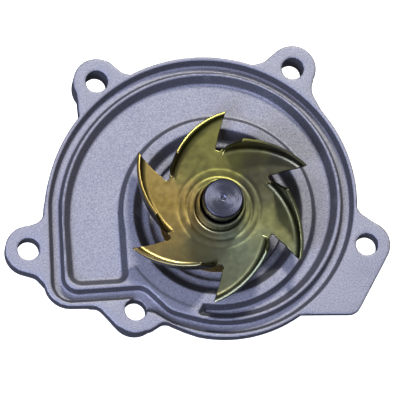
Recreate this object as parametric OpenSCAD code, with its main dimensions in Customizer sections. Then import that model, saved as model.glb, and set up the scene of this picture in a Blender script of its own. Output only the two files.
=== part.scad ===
// Belt-driven coolant pump: die-cast cover with a volute and an open seal groove, stamped
// impeller, sealed two-row shaft bearing, spring-loaded face seal and toothed sprocket.
// The shaft axis is Z. Z = 0 is the face that bolts to the engine, and +Z points into the engine.

/* [Volute and rim] */
// Chamber radius at the narrow end of the spiral
spiral_r = 32; // [31:0.5:33]
// Growth of the spiral radius for each degree of turn
spiral_growth = 0.0462; // [0.044:0.001:0.048]
// Width of the ridge between the chamber and the seal groove
ridge_w = 2.1; // [1.8:0.1:2.4]
// Width of the seal groove
groove_w = 3.3; // [3:0.1:3.6]
// Depth of the seal groove
groove_depth = 3.2; // [2.8:0.1:3.8]
// Width of the lip outside the seal groove
lip_w = 1.4; // [1.2:0.1:1.8]
// Depth of the rim behind the mating face
rim_depth = 6; // [5.5:0.5:7]
// Depth of the volute floor below the mating face
channel_depth = 3.5; // [3.2:0.1:4]
// Wall left under the volute floor
floor_wall = 4; // [3.5:0.5:4.5]

/* [Bolt lugs] */
// Radius of the clearance hole for an M6 bolt
bolt_r = 3.3; // [3.2:0.05:3.5]
// Outer radius of a lug
lug_r = 7.1; // [6.8:0.1:7.3]
// Thickness of the two thick lugs
thick_lug = 11.5; // [10:0.5:12]
// Thickness of the plain lugs
plain_lug = 7; // [6.5:0.5:8]
// Thickness of the lug that the groove breaks into
groove_lug = 9; // [8:0.5:10]
// Thickness of the flat web beside one lug
web_depth = 3; // [2.5:0.5:4]

/* [Recess behind the impeller] */
// Outer radius of the flat ring around the recess
land_r = 29; // [28.6:0.1:29.2]
// Drop of that ring below the mating face
land_drop = 0.3; // [0.2:0.1:0.6]
// Radius of the recess at its mouth
recess_r = 25.5; // [25:0.1:25.8]
// Depth of the recess below the mating face
recess_depth = 4.3; // [4:0.1:4.8]
// Radius of the pocket in the recess floor that seats the face seal
seat_r = 20.4; // [19:0.1:21]

/* [Shaft and bearing] */
// Radius of the shaft outside the bearing
shaft_r = 6; // [6:0.5:6]
// Radius of the shaft inside the bearing
race_r = 7.959; // [7.959:0.001:7.959]
// Height of the shaft's front end above the mating face
shaft_top = 18.8; // [17:0.1:20]
// Outer radius of the bearing
bearing_r = 15; // [15:0.5:15]
// Length of the bearing
bearing_len = 24; // [24:1:24]
// Number of balls
ball_count = 8; // [6:1:8]
// Number of rollers
roller_count = 10; // [8:1:10]

/* [Impeller] */
// Height of the top of the disc above the mating face
disc_top = 5.2; // [5:0.1:5.6]
// Sheet thickness
sheet_t = 1; // [0.8:0.1:1.2]
// Radius to the tips of the vanes
tip_r = 29.2; // [28.5:0.1:29.5]
// Radius to the notches between the vanes
notch_r = 18.4; // [18:0.1:19]
// Height of a vane above the disc at its peak
vane_h = 8.4; // [7:0.1:9]
// Height of a vane above the disc at its tip
vane_tip_h = 1.5; // [1:0.1:2]
// Number of vanes
vane_count = 6; // [6:1:6]

/* [Sprocket] */
// Number of teeth
tooth_count = 19; // [18:1:19]
// Belt pitch
belt_pitch = 9.525; // [9.5:0.005:9.525]
// Width across the belt
sprocket_w = 25; // [24:0.5:25.5]

/* [Hidden] */
$fn = 64;

// Small overlap that lets a cut run past a face
cut = 1;

// The spiral runs about a point a little off the shaft axis
spiral_c = [-0.85, 0.38];
spiral_start = -98;
spiral_end = 178;
spiral_step = 6;

groove_in = ridge_w;
groove_out = groove_in + groove_w;
rim_edge = groove_out + lip_w;

// Bolt holes
holes = [[-36.3, 39.6], [23.1, 44.3], [-56.9, -12.1], [-24.9, -30.2], [44.9, -9.8]];
hole_depths = [thick_lug, thick_lug, plain_lug, groove_lug, plain_lug];
hole_chamfer = 0.4;

// Levels behind the mating face
shell_z = -channel_depth - floor_wall;
seat_z = -6.5;
cup_z = -11;
cup_r = 28.4;
boss_r = 21;
boss_z = -37;
seal_bore_r = 14;
bearing_front = -14;
bearing_rear = bearing_front - bearing_len;
weep_r = 1.3;
weep_z = -12.6;
rib_w = 3;
rib_z = -14.5;

// Radius of the recess wall at height z, with its draft
recess_draft = 0.7;
function recess_at(z) = recess_r + recess_draft * (z + land_drop);

// Bearing rows
ball_r = 3.175;
ball_pitch_r = 10.4;
ball_z = -20;
ball_gap = 0.03;
roller_r = 2.48;
roller_pitch_r = 10.46;
roller_len = 8;
roller_z = -30.5;
roller_gap = 0.02;
ring_bore_r = roller_pitch_r + roller_r + 2 * roller_gap;
cage_in_r = 9.6;
cage_out_r = 11.3;
lip_gap = 0.03;

// Sprocket
sprocket_rear = -43;
sprocket_front = sprocket_rear + sprocket_w;
pitch_line = 0.686;
tooth_tip_r = tooth_count * belt_pitch / (2 * PI) - pitch_line;
tooth_h = 2.3;
tooth_root_r = tooth_tip_r - tooth_h;
sprocket_in_r = 22.6;
web_t = 4.4;
shaft_rear = -42.5;

// Face seal levels
ring_face = 1.3;
face_gap = 0.02;

function dir(a) = [cos(a), sin(a)];
function unit(v) = v / norm(v);
function xy(p) = [p[0], p[1]];
function turn(a) = a > 180 ? a - 360 : (a < -180 ? a + 360 : a);

// Arc that rounds corner c between the points p and q; c is [x, y, radius]
function corner(p, c, q, n = 6) =
    let (
        u = unit(xy(p) - xy(c)),
        v = unit(xy(q) - xy(c)),
        half = acos(u * v) / 2,
        m = xy(c) + unit(u + v) * c[2] / sin(half),
        from = xy(c) + u * c[2] / tan(half) - m,
        to = xy(c) + v * c[2] / tan(half) - m,
        a0 = atan2(from[1], from[0]),
        da = turn(atan2(to[1], to[0]) - a0)
    )
    [for (i = [0:n]) m + c[2] * dir(a0 + da * i / n)];

// Outline through corners [x, y, radius]; the first and the last point stay sharp
function rounded(p) = [
    for (i = [0:len(p) - 1])
        each (i == 0 || i == len(p) - 1 || p[i][2] == 0) ? [xy(p[i])] : corner(p[i - 1], p[i], p[i + 1])
];

// Spiral wall of the chamber, moved outward by d
function spiral(d) = [
    for (a = [spiral_start:spiral_step:spiral_end])
        spiral_c + (spiral_r + spiral_growth * (a + 90) + d) * dir(a)
];

// Lower left parts of the three outlines that follow the spiral
groove_in_path = [[-47.2, -4, 0], [-46.3, -25.1, 4.5], [-22.4, -23.2, 5], [-14.5, -30.6, 8], [-10, -31.9, 0]];
groove_out_path = [
    [-50.5, -4, 0], [-49.7, -28.4, 6], [-26, -26.7, 2], [-23.5, -30.1, 0.5],
    [-19.3, -30.9, 2.5], [-14, -34.1, 5], [-10, -35.3, 0]
];
rim_path = [
    [-52.3, -4, 0], [-52.2, -29.6, 8], [-36.2, -29.2, 5], [-30, -35.9, 4],
    [-20.6, -36.6, 3], [-16.6, -33.6, 3], [-10, -36.4, 0]
];
groove_in_outline = concat(spiral(groove_in), rounded(groove_in_path));
groove_out_outline = concat(spiral(groove_out), rounded(groove_out_path));
rim_outline = concat(spiral(rim_edge), rounded(rim_path));

// Chamber outline: spiral, outlet pocket, then back inside the flat ring
pocket_path = [
    [-45.4, -4, 0], [-44.2, -22.4, 3.5], [-27.7, -21.3, 2.5], [-land_r, 0, 0], [-20, 0, 0], [0, -20, 0]
];
chamber_outline = concat(spiral(0), rounded(pocket_path));

// The shell under the chamber floor
shell_path = [[-48.6, -4, 0], [-47.3, -25.6, 6], [-24, -24.5, 6], [-10, -31.2, 0]];
shell_outline = concat(spiral(3), rounded(shell_path));

// Webs that join the lugs to the rim
lug_webs = [
    [[-44.6, 20, 0], [-41.6, 28.6, 3], [-42.9, 42.5, 3], [-38.5, 46.4, 3], [-33, 46.2, 3],
        [-27.6, 41.6, 5], [-18, 43.4, 0], [-20, 30, 0]],
    [[10, 45, 0], [14.4, 46.2, 4], [19.4, 50.6, 3], [27, 50.2, 3], [30.3, 45, 3],
        [28.6, 37.4, 5], [34, 27, 0], [18, 30, 0]],
    [[-50, 4, 0], [-52.4, 3.5, 0], [-52.6, -3.6, 4], [-60, -5.9, 3], [-63.4, -12.5, 3],
        [-59.6, -18.7, 3], [-54.6, -20.1, 4], [-51.6, -27, 0], [-45, -20, 0]],
    [[-40, -20, 0], [-39, -29.2, 0], [-35.6, -29.4, 3], [-30, -35.8, 4], [-20.4, -36.4, 3],
        [-16.4, -33.8, 3], [-10, -35, 0], [-12, -28, 0]],
    [[40, 14, 0], [42.2, 0.4, 5], [49.6, -4.6, 3], [51.6, -12.4, 4], [46, -16.6, 3], [30, -20, 0]]
];
flat_web = [[26, 0, 0], [46, -3, 0], [51.6, -12.4, 4], [41.6, -31.2, 4], [24, -31.4, 0], [20, -20, 0]];

module extruded(outline, z0, z1) {
    translate([0, 0, z0])
        linear_extrude(z1 - z0)
            polygon(outline);
}

// Plain tube or washer between two heights
module tube(r_in, r_out, z0, z1) {
    difference() {
        translate([0, 0, z0])
            cylinder(r = r_out, h = z1 - z0);
        translate([0, 0, z0 - cut])
            cylinder(r = r_in, h = z1 - z0 + 2 * cut);
    }
}

module disc(r, z0, z1) {
    translate([0, 0, z0])
        cylinder(r = r, h = z1 - z0);
}

// Rib from the bearing boss out to a lug
module rib(to) {
    rotate([0, 0, atan2(to[1], to[0])])
        translate([boss_r - 2, -rib_w / 2, rib_z])
            cube([norm(to) - boss_r + 2 - lug_r / 2, rib_w, -rib_z - rim_depth + cut / 2]);
}

module cover_solid() {
    extruded(rim_outline, -rim_depth, 0);
    extruded(shell_outline, shell_z, -rim_depth + cut);
    disc(cup_r, cup_z, -rim_depth);
    disc(boss_r, boss_z, cup_z + cut);
    translate([0, 0, rib_z])
        cylinder(r1 = boss_r, r2 = boss_r + 3, h = cup_z - rib_z + cut);
    for (i = [0:len(holes) - 1]) {
        translate([holes[i][0], holes[i][1], -hole_depths[i]])
            cylinder(r = lug_r, h = hole_depths[i]);
        extruded(rounded(lug_webs[i]), -min(hole_depths[i], plain_lug), 0);
        intersection() {
            rib(holes[i]);
            translate([0, 0, rib_z])
                cylinder(r1 = cup_r - 4, r2 = cup_r + 25, h = -rib_z);
        }
    }
    extruded(rounded(flat_web), -web_depth, 0);
}

module bolt_hole(at, depth) {
    translate([at[0], at[1], -depth - cut])
        cylinder(r = bolt_r, h = depth + 2 * cut);
    translate([at[0], at[1], -hole_chamfer])
        cylinder(r1 = bolt_r, r2 = bolt_r + hole_chamfer + cut, h = hole_chamfer + cut);
}

module housing() {
    color("silver")
    difference() {
        cover_solid();
        // Seal groove
        difference() {
            extruded(groove_out_outline, -groove_depth, cut);
            extruded(groove_in_outline, -groove_depth - cut, 2 * cut);
        }
        // Volute channel and outlet pocket, around the flat ring
        difference() {
            extruded(chamber_outline, -channel_depth, cut);
            disc(land_r, -channel_depth - cut, 2 * cut);
        }
        // Flat ring, with its corner beside the pocket
        disc(land_r + 0.1, -land_drop, cut);
        extruded([[-land_r, 0], [-27.8, -19], [-25.6, -17.6], [-20, -12]], -land_drop, cut);
        // Recess with sloping wall, and the pocket that seats the face seal
        translate([0, 0, -recess_depth])
            cylinder(r1 = recess_at(-recess_depth), r2 = recess_at(cut), h = recess_depth + cut);
        disc(seat_r, seat_z, cut - recess_depth);
        // Bores for the face seal and the bearing
        disc(seal_bore_r, bearing_front - cut, 0);
        disc(bearing_r, boss_z - cut, bearing_front);
        // Weep holes out of the drain chamber
        translate([0, -boss_r - 8, weep_z])
            rotate([-90, 0, 0])
                cylinder(r = weep_r, h = 2 * (boss_r + 8));
        for (i = [0:len(holes) - 1])
            bolt_hole(holes[i], hole_depths[i]);
    }
}

module shaft() {
    chamfer = 0.5;
    shoulder = bearing_front + 0.8;
    shoulder_h = 0.3;
    color("lightsteelblue")
    difference() {
        union() {
            disc(race_r, shaft_rear + chamfer, shoulder);
            translate([0, 0, shaft_rear])
                cylinder(r1 = race_r - chamfer, r2 = race_r, h = chamfer);
            translate([0, 0, shoulder])
                cylinder(r1 = race_r, r2 = shaft_r, h = shoulder_h);
            disc(shaft_r, shoulder, shaft_top - chamfer);
            translate([0, 0, shaft_top - chamfer])
                cylinder(r1 = shaft_r, r2 = shaft_r - chamfer, h = chamfer);
        }
        // Ball track
        translate([0, 0, ball_z])
            rotate_extrude()
                translate([ball_pitch_r, 0])
                    circle(r = ball_r + ball_gap);
        // Centre mark in the rear end
        translate([0, 0, shaft_rear - 0.01])
            cylinder(r1 = 1.6, r2 = 0.4, h = 1.5);
    }
}

// Each vane follows an arc from its notch out to its tip
vane_angle = 360 / vane_count;
vane_sweep = 62.5;
slot_r = 1;
vane_from = [notch_r, -1.2 * slot_r];
vane_to = tip_r * dir(-vane_sweep);
vane_chord = norm(vane_to - vane_from);
vane_dir = atan2(vane_to[1] - vane_from[1], vane_to[0] - vane_from[0]);
disc_bottom = disc_top - sheet_t;
first_notch = 30;
vane_bend_r = 27.5;
vane_rise = sqrt(vane_bend_r * vane_bend_r - vane_chord * vane_chord / 4);
vane_peak_at = 5.6;
vane_centre = [vane_chord / 2, -vane_rise];
vane_half = asin(vane_chord / 2 / vane_bend_r);

function rotated(p, a) = [p[0] * cos(a) - p[1] * sin(a), p[0] * sin(a) + p[1] * cos(a)];

// Outer edge of one petal of the disc, from its notch to its tip, in the middle of the vane's sheet
petal_edge = [
    for (a = [vane_half:-vane_half / 4:-vane_half])
        vane_from + rotated(vane_centre + (vane_bend_r - sheet_t / 2) * dir(90 + a), vane_dir)
];

// Outline of the flat disc: six petals with a notch before each
disc_outline = [
    for (i = [0:vane_count - 1])
        for (p = concat([[notch_r, 0]], petal_edge))
            rotated(p, first_notch - i * vane_angle)
];

module vane() {
    foot = disc_bottom + sheet_t / 5;
    peak = disc_top + vane_h;
    tip = disc_top + vane_tip_h;
    translate([vane_from[0], vane_from[1], 0])
        rotate([0, 0, vane_dir])
            intersection() {
                translate([vane_centre[0], vane_centre[1], 0])
                    tube(vane_bend_r - sheet_t, vane_bend_r, 0, peak + cut);
                translate([0, vane_chord / 2, 0])
                    rotate([90, 0, 0])
                        linear_extrude(vane_chord)
                            polygon([
                                [0, foot], [0, disc_top], [vane_peak_at, peak], [vane_chord, tip],
                                [vane_chord, foot]
                            ]);
            }
}

module impeller() {
    collar_r = 7.3;
    collar_top = 12;
    bend_r = 2.4;
    bend_steps = 6;
    bend_centre = [collar_r + bend_r, disc_top + bend_r];
    collar_foot = disc_bottom + sheet_t / 2;
    // Drawn collar with its rounded foot
    collar = concat(
        [[shaft_r - cut, collar_top], [shaft_r - cut, collar_foot], [collar_r + bend_r, collar_foot]],
        [for (i = [0:bend_steps]) bend_centre + bend_r * dir(-90 - 90 * i / bend_steps)],
        [[collar_r, collar_top]]
    );
    color("darkkhaki")
    difference() {
        union() {
            extruded(disc_outline, disc_bottom, disc_top);
            rotate_extrude()
                polygon(collar);
            for (i = [0:vane_count - 1])
                rotate([0, 0, first_notch + i * vane_angle])
                    vane();
        }
        disc(shaft_r, 0, collar_top + cut);
        for (i = [0:vane_count - 1])
            rotate([0, 0, first_notch + i * vane_angle])
                translate([notch_r, 0, 0])
                    cylinder(r = slot_r, h = disc_top + cut);
    }
}

module tooth() {
    tip_half = 1.6;
    root_half = 2.9;
    linear_extrude(sprocket_w)
        polygon([
            [tooth_root_r - 1, -root_half], [tooth_root_r, -root_half], [tooth_tip_r, -tip_half],
            [tooth_tip_r, tip_half], [tooth_root_r, root_half], [tooth_root_r - 1, root_half]
        ]);
}

module sprocket() {
    hub_r = 12;
    dish_r = 19;
    color("dimgray")
    difference() {
        union() {
            disc(tooth_root_r, sprocket_rear, sprocket_front);
            for (i = [0:tooth_count - 1])
                rotate([0, 0, i * 360 / tooth_count])
                    translate([0, 0, sprocket_rear])
                        tooth();
        }
        disc(sprocket_in_r, sprocket_rear + web_t, sprocket_front + cut);
        disc(race_r, sprocket_rear - cut, sprocket_rear + web_t + cut);
        tube(hub_r, dish_r, sprocket_rear - cut, sprocket_rear + 1.2);
    }
}

module bearing_outer_ring() {
    color("gainsboro")
    difference() {
        tube(ring_bore_r, bearing_r, bearing_rear, bearing_front);
        translate([0, 0, ball_z])
            rotate_extrude()
                translate([ball_pitch_r, 0])
                    circle(r = ball_r + ball_gap);
    }
}

module bearing_balls() {
    color("white")
    for (i = [0:ball_count - 1])
        rotate([0, 0, i * 360 / ball_count])
            translate([ball_pitch_r, 0, ball_z])
                sphere(r = ball_r);
}

// Crown cage, open towards the front so that the balls snap in
module ball_cage() {
    color("peru")
    difference() {
        tube(cage_in_r, cage_out_r, ball_z - 4, ball_z + 1.8);
        for (i = [0:ball_count - 1])
            rotate([0, 0, i * 360 / ball_count])
                translate([ball_pitch_r, 0, ball_z])
                    sphere(r = ball_r + 0.1);
    }
}

module bearing_rollers() {
    color("white")
    for (i = [0:roller_count - 1])
        rotate([0, 0, i * 360 / roller_count])
            translate([roller_pitch_r, 0, roller_z - roller_len / 2])
                cylinder(r = roller_r, h = roller_len);
}

module roller_cage() {
    end_w = 1.2;
    color("peru")
    difference() {
        tube(cage_in_r, cage_out_r, roller_z - roller_len / 2 - end_w, roller_z + roller_len / 2 + end_w);
        for (i = [0:roller_count - 1])
            rotate([0, 0, i * 360 / roller_count])
                translate([roller_pitch_r, 0, roller_z - roller_len / 2 - 0.1])
                    cylinder(r = roller_r + 0.1, h = roller_len + 0.2);
    }
}

// Steel core of a bearing seal
module seal_core(z) {
    tube(9.6, ring_bore_r, z - 0.4, z + 0.4);
}

// Rubber lip bonded to the inside of the core
module seal_lip(z) {
    tube(race_r + 0.6, 9.6, z - 0.6, z + 0.6);
    tube(race_r + lip_gap, race_r + 0.6, z - 0.2, z + 0.2);
}

front_seal_z = bearing_front - 1;
rear_seal_z = bearing_rear + 1;

module front_seal_core() {
    color("lightgray")
        seal_core(front_seal_z);
}

module front_seal_lip() {
    color("saddlebrown")
        seal_lip(front_seal_z);
}

module rear_seal_core() {
    color("lightgray")
        seal_core(rear_seal_z);
}

module rear_seal_lip() {
    color("saddlebrown")
        seal_lip(rear_seal_z);
}

// Levels and radii shared by the pieces of the face seal
shell_t = 0.6;
shell_bottom = -10.5;
shell_floor = shell_bottom + 0.7;
guide_r = 9;
bellows_base = 0.8;
bellows_wall = 0.8;
bellows_top = -1.8;
carbon_r = 12.2;
wire_r = 0.55;
coil_r = 11.6;

module seal_shell() {
    color("goldenrod") {
        tube(seal_bore_r - shell_t, seal_bore_r, shell_bottom, seat_z);
        tube(seal_bore_r - shell_t, 17.5, seat_z, seat_z + shell_t);
        tube(guide_r - shell_t, seal_bore_r, shell_bottom, shell_floor);
        tube(guide_r - shell_t, guide_r, shell_bottom, -4);
    }
}

module seal_bellows() {
    wall_r = guide_r + bellows_wall;
    color("black") {
        tube(guide_r, seal_bore_r - shell_t, shell_floor, shell_floor + bellows_base);
        tube(guide_r, wall_r, shell_floor, bellows_top);
        tube(guide_r, carbon_r, bellows_top - bellows_base, bellows_top);
    }
}

module spring_retainer() {
    skirt = 0.6;
    top = bellows_top - bellows_base;
    color("silver") {
        tube(guide_r + bellows_wall, carbon_r + skirt, top - 0.5, top);
        tube(carbon_r, carbon_r + skirt, top - 0.5, bellows_top + 0.9);
    }
}

module carbon_ring() {
    nose_h = 0.7;
    color("dimgray") {
        tube(7.4, carbon_r, bellows_top, ring_face - nose_h);
        tube(8.2, 10.6, ring_face - nose_h - 0.1, ring_face - face_gap);
    }
}

// Coil spring between the bellows' foot and the retainer
spring_turns = 4;
spring_z0 = shell_floor + bellows_base + wire_r;
spring_z1 = bellows_top - bellows_base - 0.5 - wire_r;
spring_sides = 8;
spring_rings = spring_turns * 18;

function coil_point(i, j) =
    let (
        a = 360 * spring_turns * i / spring_rings,
        r = coil_r + wire_r * cos(j * 360 / spring_sides),
        z = spring_z0 + (spring_z1 - spring_z0) * i / spring_rings + wire_r * sin(j * 360 / spring_sides)
    )
    [r * cos(a), r * sin(a), z];

module seal_spring() {
    points = [for (i = [0:spring_rings], j = [0:spring_sides - 1]) coil_point(i, j)];
    last = spring_rings * spring_sides;
    sides = [
        for (i = [0:spring_rings - 1], j = [0:spring_sides - 1])
            let (
                a = i * spring_sides + j,
                b = i * spring_sides + (j + 1) % spring_sides,
                c = b + spring_sides,
                d = a + spring_sides
            )
            each [[a, b, c], [a, c, d]]
    ];
    start_cap = [for (j = [spring_sides - 1:-1:0]) j];
    end_cap = [for (j = [0:spring_sides - 1]) last + j];
    color("silver")
        polyhedron(points, concat(sides, [start_cap, end_cap]));
}

// Stainless sleeve on the shaft, whose flange carries the mating ring
sleeve_t = 0.6;
sleeve_top = 4.1;
ring_back = 3.1;
ring_out_r = 12.7;

module seal_sleeve() {
    flange_r = ring_out_r + 0.6 + sleeve_t;
    color("lightgray") {
        tube(shaft_r, shaft_r + sleeve_t, shell_bottom + 1.5, sleeve_top);
        tube(shaft_r, flange_r, sleeve_top - 0.5, sleeve_top);
        tube(flange_r - sleeve_t, flange_r, 1.8, sleeve_top);
    }
}

module ring_cup() {
    color("black") {
        tube(shaft_r + sleeve_t, 7.3, ring_face + 0.1, ring_back);
        tube(shaft_r + sleeve_t, ring_out_r + 0.6, ring_back, sleeve_top - 0.5);
        tube(ring_out_r, ring_out_r + 0.6, 1.8, ring_back);
    }
}

module mating_ring() {
    color("ivory")
        tube(7.3, ring_out_r, ring_face, ring_back);
}

module slinger() {
    color("black") {
        tube(shaft_r, 8.4, -12.8, -11.2);
        tube(8.4, 12.4, -12.2, -11.6);
    }
}

housing();
shaft();
impeller();
sprocket();
bearing_outer_ring();
bearing_balls();
ball_cage();
bearing_rollers();
roller_cage();
front_seal_core();
front_seal_lip();
rear_seal_core();
rear_seal_lip();
seal_shell();
carbon_ring();
seal_bellows();
seal_spring();
spring_retainer();
seal_sleeve();
mating_ring();
ring_cup();
slinger();
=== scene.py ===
import math

import bmesh
import bpy
import numpy as np
from mathutils import Matrix, Vector


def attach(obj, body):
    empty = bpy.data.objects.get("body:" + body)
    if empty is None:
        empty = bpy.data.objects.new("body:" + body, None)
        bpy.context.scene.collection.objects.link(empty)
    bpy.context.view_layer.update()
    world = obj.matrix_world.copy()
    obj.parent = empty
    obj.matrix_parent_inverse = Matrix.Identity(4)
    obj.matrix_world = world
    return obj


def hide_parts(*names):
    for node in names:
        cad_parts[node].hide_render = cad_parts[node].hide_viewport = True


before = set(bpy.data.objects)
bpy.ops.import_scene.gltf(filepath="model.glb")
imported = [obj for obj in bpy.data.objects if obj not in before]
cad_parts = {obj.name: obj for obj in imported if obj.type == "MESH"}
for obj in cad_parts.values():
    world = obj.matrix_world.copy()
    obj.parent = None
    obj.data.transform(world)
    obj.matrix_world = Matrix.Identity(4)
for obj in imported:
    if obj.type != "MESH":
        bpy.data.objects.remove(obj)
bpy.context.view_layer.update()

# All lengths below are in millimetres; meshes are scaled to metres when they are made.
MM = 0.001


# ---------------------------------------------------------------------------
# Flat outlines
# ---------------------------------------------------------------------------

def aim(degrees):
    a = math.radians(degrees)
    return np.array([math.cos(a), math.sin(a)])


def corner_arc(p, c, q, steps):
    """Arc that rounds corner c between p and q; c is (x, y, radius)."""
    centre = np.array(c[:2], float)
    u = np.array(p[:2], float) - centre
    v = np.array(q[:2], float) - centre
    u, v = u / np.linalg.norm(u), v / np.linalg.norm(v)
    half = math.acos(float(np.clip(u @ v, -1, 1))) / 2
    m = centre + (u + v) / np.linalg.norm(u + v) * c[2] / math.sin(half)
    a = centre + u * c[2] / math.tan(half) - m
    b = centre + v * c[2] / math.tan(half) - m
    start = math.atan2(a[1], a[0])
    turn = math.atan2(b[1], b[0]) - start
    turn = (turn + math.pi) % (2 * math.pi) - math.pi
    angles = [start + turn * i / steps for i in range(steps + 1)]
    return [m + c[2] * np.array([math.cos(a), math.sin(a)]) for a in angles]


def rounded(path, steps=8):
    """Outline through corners (x, y, radius); the two end points stay sharp."""
    out = []
    for i, c in enumerate(path):
        if i in (0, len(path) - 1) or c[2] == 0:
            out.append(np.array(c[:2], float))
        else:
            out.extend(corner_arc(path[i - 1], c, path[i + 1], steps))
    return out


SPIRAL_C = np.array([-0.85, 0.38])
SPIRAL_R, SPIRAL_GROWTH = 32, 0.0462


def spiral(offset, swell=0.0):
    """Spiral outline; swell is how far it runs out near 62 degrees and in near -20 degrees."""
    wave = lambda a: math.exp(-((a - 62) / 30) ** 2) - 0.7 * math.exp(-((a + 20) / 24) ** 2)
    reach = lambda a: SPIRAL_R + SPIRAL_GROWTH * (a + 90) + offset + swell * wave(a)
    return [SPIRAL_C + reach(a) * aim(a) for a in range(-98, 179, 2)]


GROOVE_IN_PATH = [(-47.2, -4, 0), (-46.3, -25.1, 4.5), (-22.4, -23.2, 5), (-14.5, -30.6, 8),
                  (-10, -31.9, 0)]
GROOVE_OUT_PATH = [(-50.5, -4, 0), (-49.7, -28.4, 6), (-26, -26.7, 2), (-23.5, -30.1, 0.5),
                   (-19.3, -30.9, 2.5), (-14, -34.1, 5), (-10, -35.3, 0)]
RIM_PATH = [(-52.3, -4, 0), (-52.2, -29.6, 8), (-36.2, -29.2, 5), (-30, -35.9, 4),
            (-20.6, -36.6, 3), (-16.6, -33.6, 3), (-10, -36.4, 0)]
POCKET_PATH = [(-45.4, -4, 0), (-44.2, -22.4, 3.5), (-27.7, -21.3, 2.5), (-29, 0, 0), (-20, 0, 0),
               (0, -20, 0)]
SHELL_PATH = [(-48.6, -4, 0), (-47.3, -25.6, 6), (-24, -24.5, 6), (-10, -31.2, 0)]
LUG_WEBS = [
    [(-42.6, 20, 0), (-41.6, 28.6, 3), (-42.9, 42.5, 3), (-38.5, 46.4, 3), (-33, 46.2, 3),
     (-27.6, 41.6, 5), (-18, 43.4, 0), (-20, 30, 0)],
    [(10, 45, 0), (14.4, 46.2, 4), (19.4, 50.6, 3), (27, 50.2, 3), (30.3, 45, 3),
     (28.6, 37.4, 5), (34, 27, 0), (18, 30, 0)],
    [(-50, 4, 0), (-52.0, 3.2, 1.5), (-52.6, -3.6, 4), (-60, -5.9, 3), (-63.4, -12.5, 3),
     (-59.6, -18.7, 3), (-54.6, -20.1, 4), (-50.6, -24.5, 0), (-45, -20, 0)],
    [(-40, -20, 0), (-39, -29.2, 0), (-35.6, -29.4, 3), (-30, -35.8, 4), (-20.4, -36.4, 3),
     (-16.4, -33.8, 3), (-10, -35, 0), (-12, -28, 0)],
    [(40, 14, 0), (42.2, 0.4, 5), (49.6, -4.6, 3), (51.6, -12.4, 4), (46, -16.6, 3), (30, -20, 0)],
]
FLAT_WEB = [(26, 0, 0), (46, -3, 0), (51.6, -12.4, 4), (41.6, -31.2, 4), (24, -31.4, 0), (20, -20, 0)]
HOLES = [(-36.3, 39.6), (23.1, 44.3), (-56.9, -12.1), (-24.9, -30.2), (44.9, -9.8)]
LUG_R, BOLT_R = 7.09, 3.3
# Depths below the mating face
RIM_DEPTH, PLAIN_DEPTH, THICK_DEPTH, GROOVED_DEPTH, WEB_DEPTH, SHELL_DEPTH = 6, 7, 11.5, 9, 3, 7.5
CHANNEL_DEPTH, GROOVE_DEPTH, RING_DROP, RECESS_DEPTH, SEAT_DEPTH = 3.5, 3.1, 0.3, 4.3, 6.5
CUP_Z, BOSS_Z, RIB_Z, WEEP_Z = -11, -37, -14.5, -12.6
# Radii round the shaft axis
CUP_R, BOSS_R, RING_R, SEAT_R, SEAL_BORE_R, BEARING_R, WEEP_R = 28.4, 21, 28.45, 20.4, 14, 15, 1.3


# ---------------------------------------------------------------------------
# Distance fields and their surfaces
# ---------------------------------------------------------------------------

def outline_distance(points, x, y):
    """Distance from an outline on a flat grid, negative inside."""
    near = np.full(x.shape, 1e9, np.float32)
    inside = np.zeros(x.shape, bool)
    pts = np.array(points, np.float32)
    for (ax, ay), (bx, by) in zip(pts, np.roll(pts, -1, axis=0)):
        ex, ey = bx - ax, by - ay
        length2 = ex * ex + ey * ey
        if length2 < 1e-10:
            continue
        t = np.clip(((x - ax) * ex + (y - ay) * ey) / length2, 0, 1)
        near = np.minimum(near, (x - ax - t * ex) ** 2 + (y - ay - t * ey) ** 2)
        if ay != by:
            inside ^= ((ay > y) != (by > y)) & (x < ex * (y - ay) / ey + ax)
    near = np.sqrt(near)
    return np.where(inside, -near, near).astype(np.float32)


def join(a, b, r=0.0):
    """Union of two fields, with a fillet of radius r in the corner between them."""
    low = np.minimum(a, b)
    if r <= 0:
        return low
    return np.maximum(r, low) - np.hypot(np.maximum(r - a, 0), np.maximum(r - b, 0))


def both(a, b, r=0.0):
    """Intersection of two fields, with its edge rounded to radius r."""
    high = np.maximum(a, b)
    if r <= 0:
        return high
    return np.minimum(-r, high) + np.hypot(np.maximum(r + a, 0), np.maximum(r + b, 0))


def cut(a, b, r=0.0):
    return both(a, -b, r)


CORNERS = [(i, j, k) for i in (0, 1) for j in (0, 1) for k in (0, 1)]
EDGES = [(a, b) for a in CORNERS for b in CORNERS
         if a < b and sum(abs(p - q) for p, q in zip(a, b)) == 1]


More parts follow.
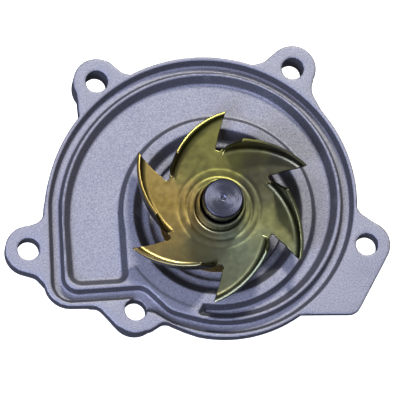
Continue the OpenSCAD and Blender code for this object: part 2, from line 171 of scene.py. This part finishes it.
def skin(field, origin, step):
    """Quads and points of the zero surface of a field on a regular grid (surface nets)."""
    n = field.shape
    part = lambda c: field[c[0]:n[0] - 1 + c[0], c[1]:n[1] - 1 + c[1], c[2]:n[2] - 1 + c[2]]
    count = sum((part(c) < 0).astype(np.int8) for c in CORNERS)
    cells = np.argwhere((count > 0) & (count < 8))
    index = np.full(count.shape, -1, np.int64)
    index[tuple(cells.T)] = np.arange(len(cells))
    total = np.zeros((len(cells), 3))
    hits = np.zeros(len(cells))
    at = tuple(cells.T)
    for a, b in EDGES:
        fa, fb = part(a)[at].astype(float), part(b)[at].astype(float)
        crossing = (fa < 0) != (fb < 0)
        t = np.where(crossing, fa / np.where(crossing, fa - fb, 1), 0)
        p = np.array(a) + t[:, None] * (np.array(b) - np.array(a))
        total += np.where(crossing[:, None], p, 0)
        hits += crossing
    points = (cells + total / hits[:, None]) * step + np.array(origin)
    quads = []
    negative = field < 0
    for axis in range(3):
        lo = [slice(1, n[k] - 1) for k in range(3)]
        hi = [slice(1, n[k] - 1) for k in range(3)]
        lo[axis], hi[axis] = slice(0, n[axis] - 1), slice(1, n[axis])
        s0, s1 = negative[tuple(lo)], negative[tuple(hi)]
        u, v = [k for k in range(3) if k != axis]
        for mask, flip in ((s0 & ~s1, False), (~s0 & s1, True)):
            at = np.argwhere(mask)
            at[:, [k for k in range(3) if k != axis]] += 1
            ring = []
            for du, dv in ((-1, -1), (0, -1), (0, 0), (-1, 0)):
                c = at.copy()
                c[:, u] += du
                c[:, v] += dv
                ring.append(index[tuple(c.T)])
            if (axis == 1) != flip:
                ring = ring[::-1]
            quads.append(np.stack(ring, 1))
    return points, np.concatenate(quads)


def mesh_from(name, points, quads):
    """A mesh in metres from points in millimetres and quads."""
    mesh = bpy.data.meshes.new(name)
    mesh.vertices.add(len(points))
    mesh.vertices.foreach_set("co", (np.asarray(points) * MM).astype(np.float32).ravel())
    mesh.loops.add(4 * len(quads))
    mesh.loops.foreach_set("vertex_index", quads.astype(np.int32).ravel())
    mesh.polygons.add(len(quads))
    mesh.polygons.foreach_set("loop_start", np.arange(0, 4 * len(quads), 4, dtype=np.int32))
    mesh.update(calc_edges=True)
    mesh.validate()
    mesh.shade_smooth()
    return mesh


def add_object(name, mesh):
    obj = bpy.data.objects.new(name, mesh)
    bpy.context.scene.collection.objects.link(obj)
    return obj


def settle(obj):
    """Applies the modifiers of an object to its mesh."""
    bpy.context.view_layer.update()
    graph = bpy.context.evaluated_depsgraph_get()
    mesh = bpy.data.meshes.new_from_object(obj.evaluated_get(graph), depsgraph=graph)
    obj.modifiers.clear()
    obj.data = mesh
    return obj


def thin_out(obj, faces):
    """Merges triangles where the surface is flat, down to about this many."""
    obj.data.calc_loop_triangles()
    have = len(obj.data.loop_triangles)
    if have > faces:
        m = obj.modifiers.new("thin", "DECIMATE")
        m.ratio = faces / have
        settle(obj)
    obj.data.shade_smooth()
    obj.data.set_sharp_from_angle(angle=math.radians(38))
    return obj


def grid(low, high, step):
    """Flat grid and heights that cover a box."""
    axes = [np.arange(a, b + step, step, dtype=np.float32) for a, b in zip(low, high)]
    x, y = np.meshgrid(axes[0], axes[1], indexing="ij")
    return x, y, axes[2][None, None, :]


def solid(name, field, low, step, faces):
    points, quads = skin(field, low, step)
    return thin_out(add_object(name, mesh_from(name, points, quads)), faces)


# ---------------------------------------------------------------------------
# Housing
# ---------------------------------------------------------------------------

def housing_field(x, y, z):
    lift = lambda a: a[:, :, None]
    radius = np.hypot(x, y)
    r3 = lift(radius)
    lug = [np.hypot(x - hx, y - hy) - LUG_R for hx, hy in HOLES]

    def prism(flat, depth, edge):
        return both(lift(flat), -depth - z, edge)

    rim = outline_distance(spiral(6.8) + rounded(RIM_PATH), x, y)
    webs = [outline_distance(rounded(w), x, y) for w in LUG_WEBS]
    plain = np.minimum.reduce(webs + [lug[2], lug[4]])
    body = prism(rim, RIM_DEPTH, 0.9)
    body = join(body, prism(plain, PLAIN_DEPTH, 0.7), 0)
    body = join(body, prism(np.minimum(lug[0], lug[1]), THICK_DEPTH, 0.6), 0)
    body = join(body, prism(lug[3], GROOVED_DEPTH, 0.6), 0)
    body = join(body, prism(outline_distance(rounded(FLAT_WEB), x, y), WEB_DEPTH, 0.5), 0)
    shell = outline_distance(spiral(3.0) + rounded(SHELL_PATH), x, y)
    body = join(body, prism(shell, SHELL_DEPTH, 1.2), 1.2)
    body = join(body, both(r3 - CUP_R, CUP_Z - z, 0.8), 0.8)
    boss = both(r3 - BOSS_R, BOSS_Z - z, 0.8)
    boss = join(boss, both(r3 - BOSS_R - (z - RIB_Z) * 0.86, RIB_Z - z), 0.8)
    body = join(body, boss, 1.5)
    for hx, hy in HOLES:
        far = math.hypot(hx, hy)
        along = (x * hx + y * hy) / far
        across = (x * hy - y * hx) / far
        flat = both(np.abs(across) - 1.5, both(19 - along, along - far + LUG_R / 2), 0.3)
        rib = both(both(lift(flat), RIB_Z - z, 0.7), (r3 - 24.4 - 2 * (z - RIB_Z)) / math.sqrt(5), 0.5)
        rib = both(rib, z + 5)
        body = join(body, rib, 1.0)
    body = both(body, z + 0 * r3, 0.35)

    # Volute channel and outlet pocket, with sloping walls
    chamber = lift(outline_distance(spiral(0, 0.5) + rounded(POCKET_PATH), x, y))
    outer_wall = (chamber - 0.97 - 0.586 * z) * 0.863
    ring_wall = (RING_R - 0.42 * (z + RING_DROP) - r3) * 0.922
    body = cut(body, both(both(outer_wall, ring_wall), -CHANNEL_DEPTH - z, 0.45), 0.2)
    # Seal groove
    outer = lift(outline_distance(spiral(5.4) + rounded(GROOVE_OUT_PATH), x, y))
    inner = lift(outline_distance(spiral(2.1) + rounded(GROOVE_IN_PATH), x, y))
    sides = both((outer - 0.35 - 0.367 * z) * 0.939, (-0.35 - 0.267 * z - inner) * 0.966)
    body = cut(body, both(sides, -GROOVE_DEPTH - z, 0.4), 0.2)
    # Flat ring round the recess, with its corner beside the pocket
    corner = outline_distance([(-29, 0), (-27.8, -19), (-25.6, -17.6), (-20, -12)], x, y)
    body = cut(body, both(lift(np.minimum(radius - 30.25, corner)), -RING_DROP - z, 0.1), 0.15)
    # Recess behind the impeller, and the pocket that seats the face seal
    wall = (r3 - 25.6 - 0.675 * z) * 0.829
    body = cut(body, both(wall, -RECESS_DEPTH - z, 0.4), 0.2)
    body = cut(body, both(r3 - SEAT_R, -SEAT_DEPTH - z, 0.4), 0.2)
    # Bores for the face seal and the bearing
    body = cut(body, both(r3 - SEAL_BORE_R, -15 - z), 0.3)
    body = cut(body, both(r3 - BEARING_R, z + 14), 0.3)
    weep = np.hypot(lift(x), z - WEEP_Z) - WEEP_R
    body = cut(body, both(weep, np.abs(lift(y)) - 29), 0.2)
    for hx, hy in HOLES:
        body = cut(body, lift(np.hypot(x - hx, y - hy) - BOLT_R) + 0 * z, 0.3)
    return body


def make_housing():
    low, high, step = (-65.1, -39.3, -38.13), (53.3, 52.7, 1.2), 0.36
    x, y, z = grid(low, high, step)
    return solid("Housing", housing_field(x, y, z), low, step, 190000)


# ---------------------------------------------------------------------------
# Impeller
# ---------------------------------------------------------------------------

NOTCH_R, TIP_R, DISC_TOP, DISC_BOTTOM = 18.4, 29.2, 5.2, 4.2
VANE_H, VANE_TIP_H, VANE_PEAK_AT, BEND_R = 8.4, 1.5, 5.0, 27.5
FIRST_NOTCH, VANES = 30, 6
# Free edge of a petal, as (radius, angle from its own notch): beside the next notch, half way, and at its tip
FREE_EDGE = [r * aim(a) for r, a in ((17.53, -56.73), (22.3, -59.74), (28.76, -63.8))]
# Where the flat disc ends and the bend up into the vane starts
BEND_START = 24.6
vane_from = np.array([NOTCH_R, -1.2])
vane_to = TIP_R * aim(-62.5)
chord = float(np.linalg.norm(vane_to - vane_from))
chord_dir = (vane_to - vane_from) / chord
rise = math.sqrt(BEND_R ** 2 - chord ** 2 / 4)


def turned(x, y, degrees):
    c, s = math.cos(math.radians(degrees)), math.sin(math.radians(degrees))
    return x * c - y * s, x * s + y * c


def disc_outline():
    side = np.array([-chord_dir[1], chord_dir[0]])
    half = math.degrees(math.asin(chord / 2 / BEND_R))
    edge = [(NOTCH_R, 0.0)]
    for i in range(13):
        a = half - 2 * half * i / 12
        s = chord / 2 - BEND_R * math.sin(math.radians(a))
        n = BEND_R * math.cos(math.radians(a)) - rise
        edge.append(tuple(vane_from + chord_dir * s + side * n))
    edge += [tuple(p) for p in FREE_EDGE[::-1]]
    return [turned(px, py, FIRST_NOTCH - 60 * i) for i in range(VANES) for px, py in edge]


def impeller_field(x, y, z):
    lift = lambda a: a[:, :, None]
    radius = np.hypot(x, y)
    flat = outline_distance(disc_outline(), x, y)
    vanes = None
    for i in range(VANES):
        px, py = turned(x, y, 60 * i - FIRST_NOTCH)
        free = np.minimum.reduce([
            ((q[1] - p[1]) * (px - p[0]) - (q[0] - p[0]) * (py - p[1])) / np.linalg.norm(q - p)
            for p, q in zip(FREE_EDGE, FREE_EDGE[1:])])
        px, py = px - vane_from[0], py - vane_from[1]
        s = px * chord_dir[0] + py * chord_dir[1]
        n = -px * chord_dir[1] + py * chord_dir[0]
        rho = np.hypot(s - chord / 2, n + rise)
        near = np.maximum(-n - 8, np.maximum(-s, free))
        flat = np.maximum(flat, -np.maximum(BEND_START - rho, near))
        outside = both(lift(rho) - BEND_R, DISC_BOTTOM - z, 2.9)
        inside = both(lift(rho) - (BEND_R - 1), DISC_TOP - z, 1.9)
        sheet = cut(outside, inside)
        rising = ((z - DISC_TOP) * VANE_PEAK_AT - lift(s) * VANE_H) / math.hypot(VANE_PEAK_AT, VANE_H)
        run, drop = chord - VANE_PEAK_AT, VANE_H - VANE_TIP_H
        falling = ((z - DISC_TOP - VANE_H) * run + (lift(s) - VANE_PEAK_AT) * drop) / math.hypot(run, drop)
        top = both(rising, falling, 0.3)
        flat_part = z - DISC_TOP + 0 * lift(s)
        top = np.minimum(top, flat_part)
        sheet = both(both(sheet, top, 0.2), lift(np.maximum(near, BEND_START - 0.4 - rho)))
        vanes = sheet if vanes is None else np.minimum(vanes, sheet)
    for i in range(VANES):
        nx, ny = NOTCH_R * aim(FIRST_NOTCH + 60 * i)
        flat = np.maximum(flat, 1.0 - np.hypot(x - nx, y - ny))
    # Two shallow turned rings round the collar
    rings = 0.13 * (np.exp(-((radius - 9.8) / 0.5) ** 2) + 0.7 * np.exp(-((radius - 12.2) / 0.6) ** 2))
    disc = both(lift(flat), np.abs(z - (DISC_TOP + DISC_BOTTOM) / 2) - 0.5 + lift(rings), 0.15)
    tube = both(both(lift(radius) - 7.3, z - 12, 0.12), DISC_BOTTOM - z)
    disc = join(disc, tube, 0.8)
    disc = both(disc, DISC_BOTTOM - z)
    slots = np.full(x.shape, 1e3, np.float32)
    for i in range(VANES):
        nx, ny = NOTCH_R * aim(FIRST_NOTCH + 60 * i)
        slots = np.minimum(slots, np.hypot(x - nx, y - ny) - 1.0)
    body = np.minimum(disc, vanes)
    body = cut(body, lift(slots) + 0 * z, 0.15)
    body = cut(body, lift(radius) - 6.02 + 0 * z, 0.1)
    return cut(body, (lift(radius) - 6.5 + 0.45 * (12 - z)) * 0.912)


def make_impeller():
    low, high, step = (-30.07, -30.13, 3.71), (30.1, 30.1, 14.2), 0.21
    x, y, z = grid(low, high, step)
    return solid("Impeller", impeller_field(x, y, z), low, step, 120000)


# ---------------------------------------------------------------------------
# Turned pieces
# ---------------------------------------------------------------------------

def lathe(name, profile, sides=192, shape=None):
    """Surface of turning through (radius, z) points; shape(row, angles) may change the radii of a row."""
    angles = np.arange(sides) * 2 * math.pi / sides
    rows = []
    for k, (r, zz) in enumerate(profile):
        radii = np.full(sides, float(r)) if shape is None else shape(k, r, angles)
        rows.append(np.stack([radii * np.cos(angles), radii * np.sin(angles), np.full(sides, float(zz))], 1))
    points = np.concatenate(rows)
    j = np.arange(sides)
    quads = [np.stack([k * sides + j, k * sides + (j + 1) % sides,
                       (k + 1) * sides + (j + 1) % sides, (k + 1) * sides + j], 1)
             for k in range(len(profile) - 1)]
    faces = [tuple(q) for q in np.concatenate(quads)]
    mesh = bpy.data.meshes.new(name)
    mesh.from_pydata(list(map(tuple, points * MM)), [], faces)
    # Rows on the axis become one point
    work = bmesh.new()
    work.from_mesh(mesh)
    bmesh.ops.remove_doubles(work, verts=work.verts, dist=1e-8)
    work.to_mesh(mesh)
    work.free()
    mesh.validate()
    mesh.shade_smooth()
    mesh.set_sharp_from_angle(angle=math.radians(32))
    return add_object(name, mesh)


def make_shaft():
    ripple = [(r, 18.8 - 0.012 * (1 + math.cos(r * 2 * math.pi / 0.55))) for r in np.arange(0.9, 5.45, 0.11)]
    profile = [(0, 18.35), (0.35, 18.4), (0.75, 18.74)] + ripple
    profile += [(5.5, 18.79), (5.62, 18.72), (5.9, 18.4), (5.98, 18.25), (6, 18.1), (6, 17.6)]
    profile += [(6, z) for z in np.arange(16, -12, -2.0)]
    profile += [(6, -12.85), (6.1, -12.93), (7.8, -13.16), (7.93, -13.3), (7.959, -13.6), (7.959, -16.9)]
    track = [(10.4 - 3.205 * math.cos(a), -20 + 3.205 * math.sin(a))
             for a in np.radians(np.arange(40, -41, -8))]
    profile += [p for p in track if p[0] < 7.95]
    profile += [(7.959, z) for z in (-23, -26, -29, -32, -35, -38, -41)]
    profile += [(7.959, -41.9), (7.9, -42.1), (7.5, -42.46), (7.3, -42.5)]
    profile += [(r, -42.5) for r in (6, 4.5, 3, 1.9, 1.65)]
    profile += [(1.45, -42.4), (0.5, -41.1), (0.25, -41.0), (0, -41.0)]
    return lathe("Shaft", profile)


TEETH, TIP, ROOT = 19, 28.117, 25.817


def tooth_radius(angles):
    """Outer radius of the sprocket at each angle: trapezoid teeth with rounded tips and roots."""
    pitch = 2 * math.pi / TEETH
    arc = np.abs((angles + pitch / 2) % pitch - pitch / 2) * 27
    t = np.clip((arc - 1.55) / 1.25, 0, 1)
    t = t * t * (3 - 2 * t)
    return TIP + (ROOT - TIP) * t


def make_sprocket():
    rear, front = -43.0, -18.0
    profile = [(7.96, -38.9), (7.96, -42.6), (8.3, rear + 0.02), (9.5, rear), (11.6, rear), (12, -42.75),
               (12.35, -41.95), (12.7, -41.8), (15.5, -41.8), (18.3, -41.8), (18.65, -41.95), (19, -42.75),
               (19.4, rear), (22, rear), (24.6, rear)]
    toothed = {}
    for inset, z in ((0.45, rear), (0.12, rear + 0.15), (0, rear + 0.45), (0, -36), (0, -30), (0, -24),
                     (0, front - 0.45), (0.12, front - 0.15), (0.45, front)):
        toothed[len(profile)] = inset
        profile.append((26, z))
    profile += [(24.6, front), (23.1, front), (22.75, front - 0.15), (22.6, front - 0.5),
                (22.6, -24), (22.6, -31), (22.6, -37.4), (22.2, -38.3), (21.3, -38.6), (16, -38.6),
                (11, -38.6), (8.4, -38.6), (7.96, -38.9)]

    def shape(k, r, angles):
        if k in toothed:
            return tooth_radius(angles) - toothed[k]
        return np.full(len(angles), float(r))

    return lathe("Sprocket", profile, 19 * 24, shape)


# ---------------------------------------------------------------------------
# Finishes
# ---------------------------------------------------------------------------

class Finish:
    """A Principled material whose inputs are fed by noise in the object's own coordinates."""

    def __init__(self, name, metallic=0.0):
        self.material = bpy.data.materials.new(name)
        self.material.use_nodes = True
        self.tree = self.material.node_tree
        self.tree.nodes.clear()
        out = self.node("ShaderNodeOutputMaterial")
        self.shader = self.node("ShaderNodeBsdfPrincipled")
        self.tree.links.new(self.shader.outputs[0], out.inputs["Surface"])
        self.shader.inputs["Metallic"].default_value = metallic
        self.place = self.node("ShaderNodeTexCoord").outputs["Object"]
        self.normal = None

    def node(self, kind, **settings):
        n = self.tree.nodes.new(kind)
        for k, v in settings.items():
            setattr(n, k, v)
        return n

    def feed(self, socket, value):
        if hasattr(value, "is_output"):
            self.tree.links.new(value, socket)
        else:
            socket.default_value = value

    def noise(self, size, detail=3.0, rough=0.55, stretch=(1, 1, 1)):
        """Noise with features of about this size in millimetres."""
        at = self.node("ShaderNodeMapping")
        self.feed(at.inputs["Vector"], self.place)
        scale = 1 / (size * MM)
        at.inputs["Scale"].default_value = [scale / s for s in stretch]
        n = self.node("ShaderNodeTexNoise")
        self.feed(n.inputs["Vector"], at.outputs[0])
        n.inputs["Scale"].default_value = 1.0
        n.inputs["Detail"].default_value = detail
        n.inputs["Roughness"].default_value = rough
        return n.outputs["Fac"]

    def spread(self, source, low, high, from_low=0.3, from_high=0.7):
        m = self.node("ShaderNodeMapRange")
        self.feed(m.inputs["Value"], source)
        for key, v in (("From Min", from_low), ("From Max", from_high), ("To Min", low), ("To Max", high)):
            m.inputs[key].default_value = v
        return m.outputs[0]

    def ramp(self, source, stops):
        r = self.node("ShaderNodeValToRGB")
        self.feed(r.inputs["Fac"], source)
        e = r.color_ramp.elements
        while len(e) < len(stops):
            e.new(0.5)
        for slot, (position, colour) in zip(e, stops):
            slot.position = position
            slot.color = (*colour, 1)
        return r.outputs["Color"]

    def mix(self, factor, a, b, kind="MIX"):
        m = self.node("ShaderNodeMix", data_type="RGBA", blend_type=kind)
        self.feed(m.inputs["Factor"], factor)
        for key, v in (("A", a), ("B", b)):
            socket = [s for s in m.inputs if s.name == key and s.type == "RGBA"][0]
            self.feed(socket, v if hasattr(v, "is_output") else (*v, 1))
        return [s for s in m.outputs if s.type == "RGBA"][0]

    def maths(self, kind, a, b=0.0):
        m = self.node("ShaderNodeMath", operation=kind)
        self.feed(m.inputs[0], a)
        self.feed(m.inputs[1], b)
        return m.outputs[0]

    def parts(self):
        s = self.node("ShaderNodeSeparateXYZ")
        self.feed(s.inputs[0], self.place)
        return s.outputs

    def radius(self):
        x, y, z = self.parts()
        squares = self.maths("ADD", self.maths("MULTIPLY", x, x), self.maths("MULTIPLY", y, y))
        return self.maths("SQRT", squares)

    def paint_wall_shade(self, colour, floor, level=0.94):
        """Painted shade on walls: their share of the colour is floor, and faces square to the axis keep all
        of it.
        """
        s = self.node("ShaderNodeSeparateXYZ")
        self.feed(s.inputs[0], self.node("ShaderNodeTexCoord").outputs["Normal"])
        tilt = self.maths("ABSOLUTE", s.outputs[2])
        shade = self.ramp(tilt, [(0.55, (floor, floor, floor)), (level, (1, 1, 1))])
        return self.mix(1.0, colour, shade, "MULTIPLY")

    def bump(self, height, depth, strength=1.0):
        """Bump of this depth in millimetres."""
        b = self.node("ShaderNodeBump")
        b.inputs["Distance"].default_value = depth * MM
        b.inputs["Strength"].default_value = strength
        self.feed(b.inputs["Height"], height)
        if self.normal is not None:
            self.feed(b.inputs["Normal"], self.normal)
        self.normal = b.outputs[0]
        self.feed(self.shader.inputs["Normal"], self.normal)

    def set(self, **values):
        for key, v in values.items():
            self.feed(self.shader.inputs[key.replace("_", " ").title()], v)
        return self


def cast_aluminium():
    f = Finish("CastAluminium", 0.8)
    grain = f.noise(0.45, 4, 0.65)
    clouds = f.noise(14, 3, 0.5)
    light = f.ramp(grain, [(0.30, (0.28, 0.285, 0.345)), (0.5, (0.42, 0.42, 0.475)),
                           (0.7, (0.54, 0.54, 0.60))])
    tone = f.ramp(clouds, [(0.35, (0.93, 0.94, 0.97)), (0.65, (1.0, 1.0, 1.0))])
    # Walls get painted shade: their colour falls to 0.38 of the grain colour.
    f.set(base_color=f.paint_wall_shade(f.mix(1.0, light, tone, "MULTIPLY"), 0.38),
          roughness=f.spread(grain, 0.74, 0.62))
    f.bump(f.noise(0.38, 3, 0.6), 0.035, 0.8)
    f.bump(f.noise(1.7, 3, 0.5), 0.05, 0.5)
    return f.material


# Plating colour round the shaft, partly the plating's own tint and partly painted light and shade: angle in
# degrees from -X, and colour; the darkest stops, at 190 and 220, are painted shadow on the petals beside the
# right-hand vanes, and the brightest, at 30 and 262 to 280, painted highlight
PLATING_LIGHT_AND_SHADE = [(0, (0.33, 0.235, 0.066)), (30, (0.46, 0.34, 0.12)), (60, (0.34, 0.30, 0.14)),
           (90, (0.34, 0.35, 0.20)),
           (120, (0.28, 0.32, 0.19)), (162, (0.24, 0.24, 0.10)), (190, (0.15, 0.15, 0.075)),
           (220, (0.17, 0.165, 0.11)), (262, (0.42, 0.40, 0.12)), (280, (0.44, 0.42, 0.12)),
           (306, (0.25, 0.23, 0.075)), (332, (0.32, 0.235, 0.08)), (360, (0.33, 0.235, 0.066))]


def yellow_zinc():
    f = Finish("YellowZinc", 0.9)
    x, y, z = f.parts()
    angle = f.maths("ADD", f.maths("DIVIDE", f.maths("ARCTAN2", y, x), 2 * math.pi), 0.5)
    drift = f.spread(f.noise(6, 2, 0.5), -0.035, 0.035)
    # Plating tint round the shaft, with painted shadow and highlight in it
    plating_light_and_shade = f.ramp(f.maths("ADD", angle, drift), [(a / 360, c) for a, c in PLATING_LIGHT_AND_SHADE])
    fine = f.noise(1.6, 3, 0.55)
    grain = f.ramp(fine, [(0.3, (0.88, 0.88, 0.88)), (0.7, (1, 1, 1))])
    # Vane walls and collar sides get painted shade: their colour falls to 0.22.
    f.set(base_color=f.paint_wall_shade(f.mix(1.0, plating_light_and_shade, grain, "MULTIPLY"), 0.22),
          roughness=f.spread(fine, 0.30, 0.38), anisotropic=0.5)
    radial = f.node("ShaderNodeTangent", direction_type="RADIAL", axis="Z")
    f.feed(f.shader.inputs["Tangent"], radial.outputs[0])
    rings = f.maths("SINE", f.maths("MULTIPLY", f.radius(), 2 * math.pi / (0.5 * MM)))
    f.bump(rings, 0.002, 0.4)
    f.bump(f.noise(0.8, 2, 0.5), 0.004, 0.4)
    return f.material


def turned_steel(name, colour, rough, pitch=0.35, wall=0.9):
    f = Finish(name, 1.0)
    rings = f.maths("SINE", f.maths("MULTIPLY", f.radius(), 2 * math.pi / (pitch * MM)))
    stain = f.noise(2.4, 4, 0.6)
    dark = tuple(0.72 * c for c in colour)
    tint = f.ramp(stain, [(0.3, dark), (0.7, colour)])
    # Walls get painted shade: their colour falls to the wall share.
    f.set(base_color=f.paint_wall_shade(tint, wall), roughness=f.spread(stain, rough * 1.3, rough * 0.8))
    f.bump(rings, 0.006, 0.6)
    f.bump(f.noise(0.5, 2, 0.5), 0.003, 0.3)
    f.set(anisotropic=0.75)
    radial = f.node("ShaderNodeTangent", direction_type="RADIAL", axis="Z")
    f.feed(f.shader.inputs["Tangent"], radial.outputs[0])
    return f.material


def plain(name, dark, light, metallic, rough, size=0.6, depth=0.01):
    f = Finish(name, metallic)
    n = f.noise(size, 4, 0.6)
    wide = f.noise(size * 12, 2, 0.5)
    both_noise = f.maths("ADD", f.maths("MULTIPLY", n, 0.6), f.maths("MULTIPLY", wide, 0.4))
    f.set(base_color=f.ramp(both_noise, [(0.35, dark), (0.65, light)]),
          roughness=f.spread(n, rough * 1.15, rough * 0.85))
    f.bump(n, depth, 0.7)
    return f.material


FINISHES = {
    "cast_aluminium": cast_aluminium(),
    "yellow_zinc": yellow_zinc(),
    # Turned steels get painted shade on their sides: the shaft's falls to 0.35 of its colour, the others' to
    # 0.9.
    "ground_steel": turned_steel("GroundSteel", (0.24, 0.25, 0.34), 0.28, 0.45, 0.35),
    "bearing_steel": turned_steel("BearingSteel", (0.62, 0.63, 0.65), 0.16, 0.2),
    "sintered_steel": plain("SinteredSteel", (0.11, 0.11, 0.12), (0.24, 0.24, 0.25), 0.85, 0.5, 0.35, 0.02),
    "cage_nylon": plain("CageNylon", (0.33, 0.22, 0.10), (0.47, 0.33, 0.17), 0.0, 0.5, 0.8, 0.01),
    "lip_rubber": plain("LipRubber", (0.09, 0.04, 0.02), (0.17, 0.08, 0.05), 0.0, 0.65, 0.5, 0.01),
    "black_rubber": plain("BlackRubber", (0.012, 0.012, 0.013), (0.035, 0.035, 0.036), 0.0, 0.7, 0.5, 0.012),
    "stainless": turned_steel("Stainless", (0.66, 0.66, 0.65), 0.22, 0.3),
    "brass": plain("Brass", (0.50, 0.36, 0.12), (0.74, 0.56, 0.24), 1.0, 0.3, 1.1, 0.006),
    "carbon": plain("Carbon", (0.02, 0.02, 0.022), (0.06, 0.06, 0.062), 0.1, 0.38, 0.3, 0.005),
    "ceramic": plain("Ceramic", (0.68, 0.66, 0.60), (0.84, 0.82, 0.77), 0.0, 0.3, 0.7, 0.004),
}


def dress(obj, slot):
    obj.data.materials.clear()
    obj.data.materials.append(FINISHES[slot])
    return obj


# ---------------------------------------------------------------------------
# Pieces
# ---------------------------------------------------------------------------

for make, node, body, slot in (
    (make_housing, "housing", "cover", "cast_aluminium"),
    (make_impeller, "impeller", "rotor", "yellow_zinc"),
    (make_shaft, "shaft", "rotor", "ground_steel"),
    (make_sprocket, "sprocket", "rotor", "sintered_steel"),
):
    piece = dress(make(), slot)
    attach(piece, body)
    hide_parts(node)

CARRIED = {
    "bearing_outer_ring": "bearing_steel", "bearing_balls": "bearing_steel",
    "bearing_rollers": "bearing_steel",
    "ball_cage": "cage_nylon", "roller_cage": "cage_nylon",
    "front_seal_core": "stainless", "rear_seal_core": "stainless",
    "front_seal_lip": "lip_rubber", "rear_seal_lip": "lip_rubber",
    "seal_shell": "brass", "carbon_ring": "carbon", "seal_bellows": "black_rubber",
    "seal_spring": "stainless", "spring_retainer": "stainless", "seal_sleeve": "stainless",
    "mating_ring": "ceramic", "ring_cup": "black_rubber", "slinger": "black_rubber",
}
# Turned and pressed rings whose sharp edges are broken
BROKEN = ("bearing_outer_ring", "front_seal_core", "rear_seal_core", "seal_shell", "carbon_ring",
          "spring_retainer", "seal_sleeve", "mating_ring", "ring_cup", "slinger")
for node, slot in CARRIED.items():
    piece = dress(bpy.data.objects[node], slot)
    if node in BROKEN:
        edge = piece.modifiers.new("edge", "BEVEL")
        edge.width, edge.segments, edge.limit_method = 0.08 * MM, 2, "ANGLE"
        edge.angle_limit = math.radians(50)


# ---------------------------------------------------------------------------
# Floor, light and camera
# ---------------------------------------------------------------------------

def make_floor():
    size, z = 900 * MM, -43.05 * MM
    mesh = bpy.data.meshes.new("Floor")
    corners = [(-size, -size, z), (size, -size, z), (size, size, z), (-size, size, z)]
    mesh.from_pydata(corners, [], [(0, 1, 2, 3)])
    floor = add_object("Floor", mesh)
    m = bpy.data.materials.new("FloorPaper")
    m.use_nodes = True
    b = m.node_tree.nodes["Principled BSDF"]
    b.inputs["Base Color"].default_value = (0.9, 0.9, 0.9, 1)
    b.inputs["Roughness"].default_value = 0.9
    b.inputs["Emission Color"].default_value = (1, 1, 1, 1)
    b.inputs["Emission Strength"].default_value = 0.9
    mesh.materials.append(m)
    floor.visible_diffuse = False
    floor.visible_glossy = False


def area_light(name, at, size, power, colour=(1, 1, 1)):
    data = bpy.data.lights.new(name, "AREA")
    data.shape = "DISK"
    data.size = size * MM
    data.energy = power
    data.color = colour
    light = bpy.data.objects.new(name, data)
    bpy.context.scene.collection.objects.link(light)
    light.location = Vector(at) * MM
    light.rotation_euler = (-light.location).to_track_quat("-Z", "Y").to_euler()
    return light


make_floor()
area_light("Key", (156, 544, 566), 130, 4.5, (1.0, 0.98, 0.91))
area_light("Fill", (-420, -380, 560), 420, 6.4, (0.64, 0.70, 1.0))

world = bpy.data.worlds.new("Studio")
bpy.context.scene.world = world
world.use_nodes = True
tree = world.node_tree
background = tree.nodes["Background"]
place = tree.nodes.new("ShaderNodeTexCoord")
facing = tree.nodes.new("ShaderNodeVectorMath")
facing.operation = "DOT_PRODUCT"
facing.inputs[1].default_value = (0, 0, 1)
shade = tree.nodes.new("ShaderNodeValToRGB")
tree.links.new(place.outputs["Generated"], facing.inputs[0])
tree.links.new(facing.outputs["Value"], shade.inputs["Fac"])
stops = shade.color_ramp.elements
while len(stops) < 4:
    stops.new(0.5)
for stop, (at, colour) in zip(stops, ((0.0, (0.13, 0.135, 0.16)), (0.35, (0.14, 0.145, 0.175)),
                                      (0.8, (0.20, 0.205, 0.24)), (0.98, (0.24, 0.245, 0.28)))):
    stop.position, stop.color = at, (*colour, 1)
tree.links.new(shade.outputs[0], background.inputs["Color"])
background.inputs["Strength"].default_value = 1.0

TILT, LEAN, REACH = math.radians(13), math.radians(22), 1500.0
s_lean, c_lean, s_tilt, c_tilt = math.sin(LEAN), math.cos(LEAN), math.sin(TILT), math.cos(TILT)
right = Vector((c_lean ** 2 + s_lean ** 2 * c_tilt, -s_lean * c_lean * (1 - c_tilt), s_lean * s_tilt))
back = Vector((-s_tilt * s_lean, -s_tilt * c_lean, c_tilt))
up = back.cross(right)
WIDTH = 120.1
centre = right * -5.41 + up * 3.30
camera_data = bpy.data.cameras.new("Camera")
camera_data.sensor_width = 36
camera_data.lens = 36 * REACH / WIDTH
camera_data.clip_start, camera_data.clip_end = 0.1, 20
camera = bpy.data.objects.new("Camera", camera_data)
bpy.context.scene.collection.objects.link(camera)
turn = Matrix((right, up, back)).transposed().to_4x4()
camera.matrix_world = Matrix.Translation((centre + back * REACH) * MM) @ turn
bpy.context.scene.camera = camera
bpy.context.scene.view_settings.view_transform = "Standard"
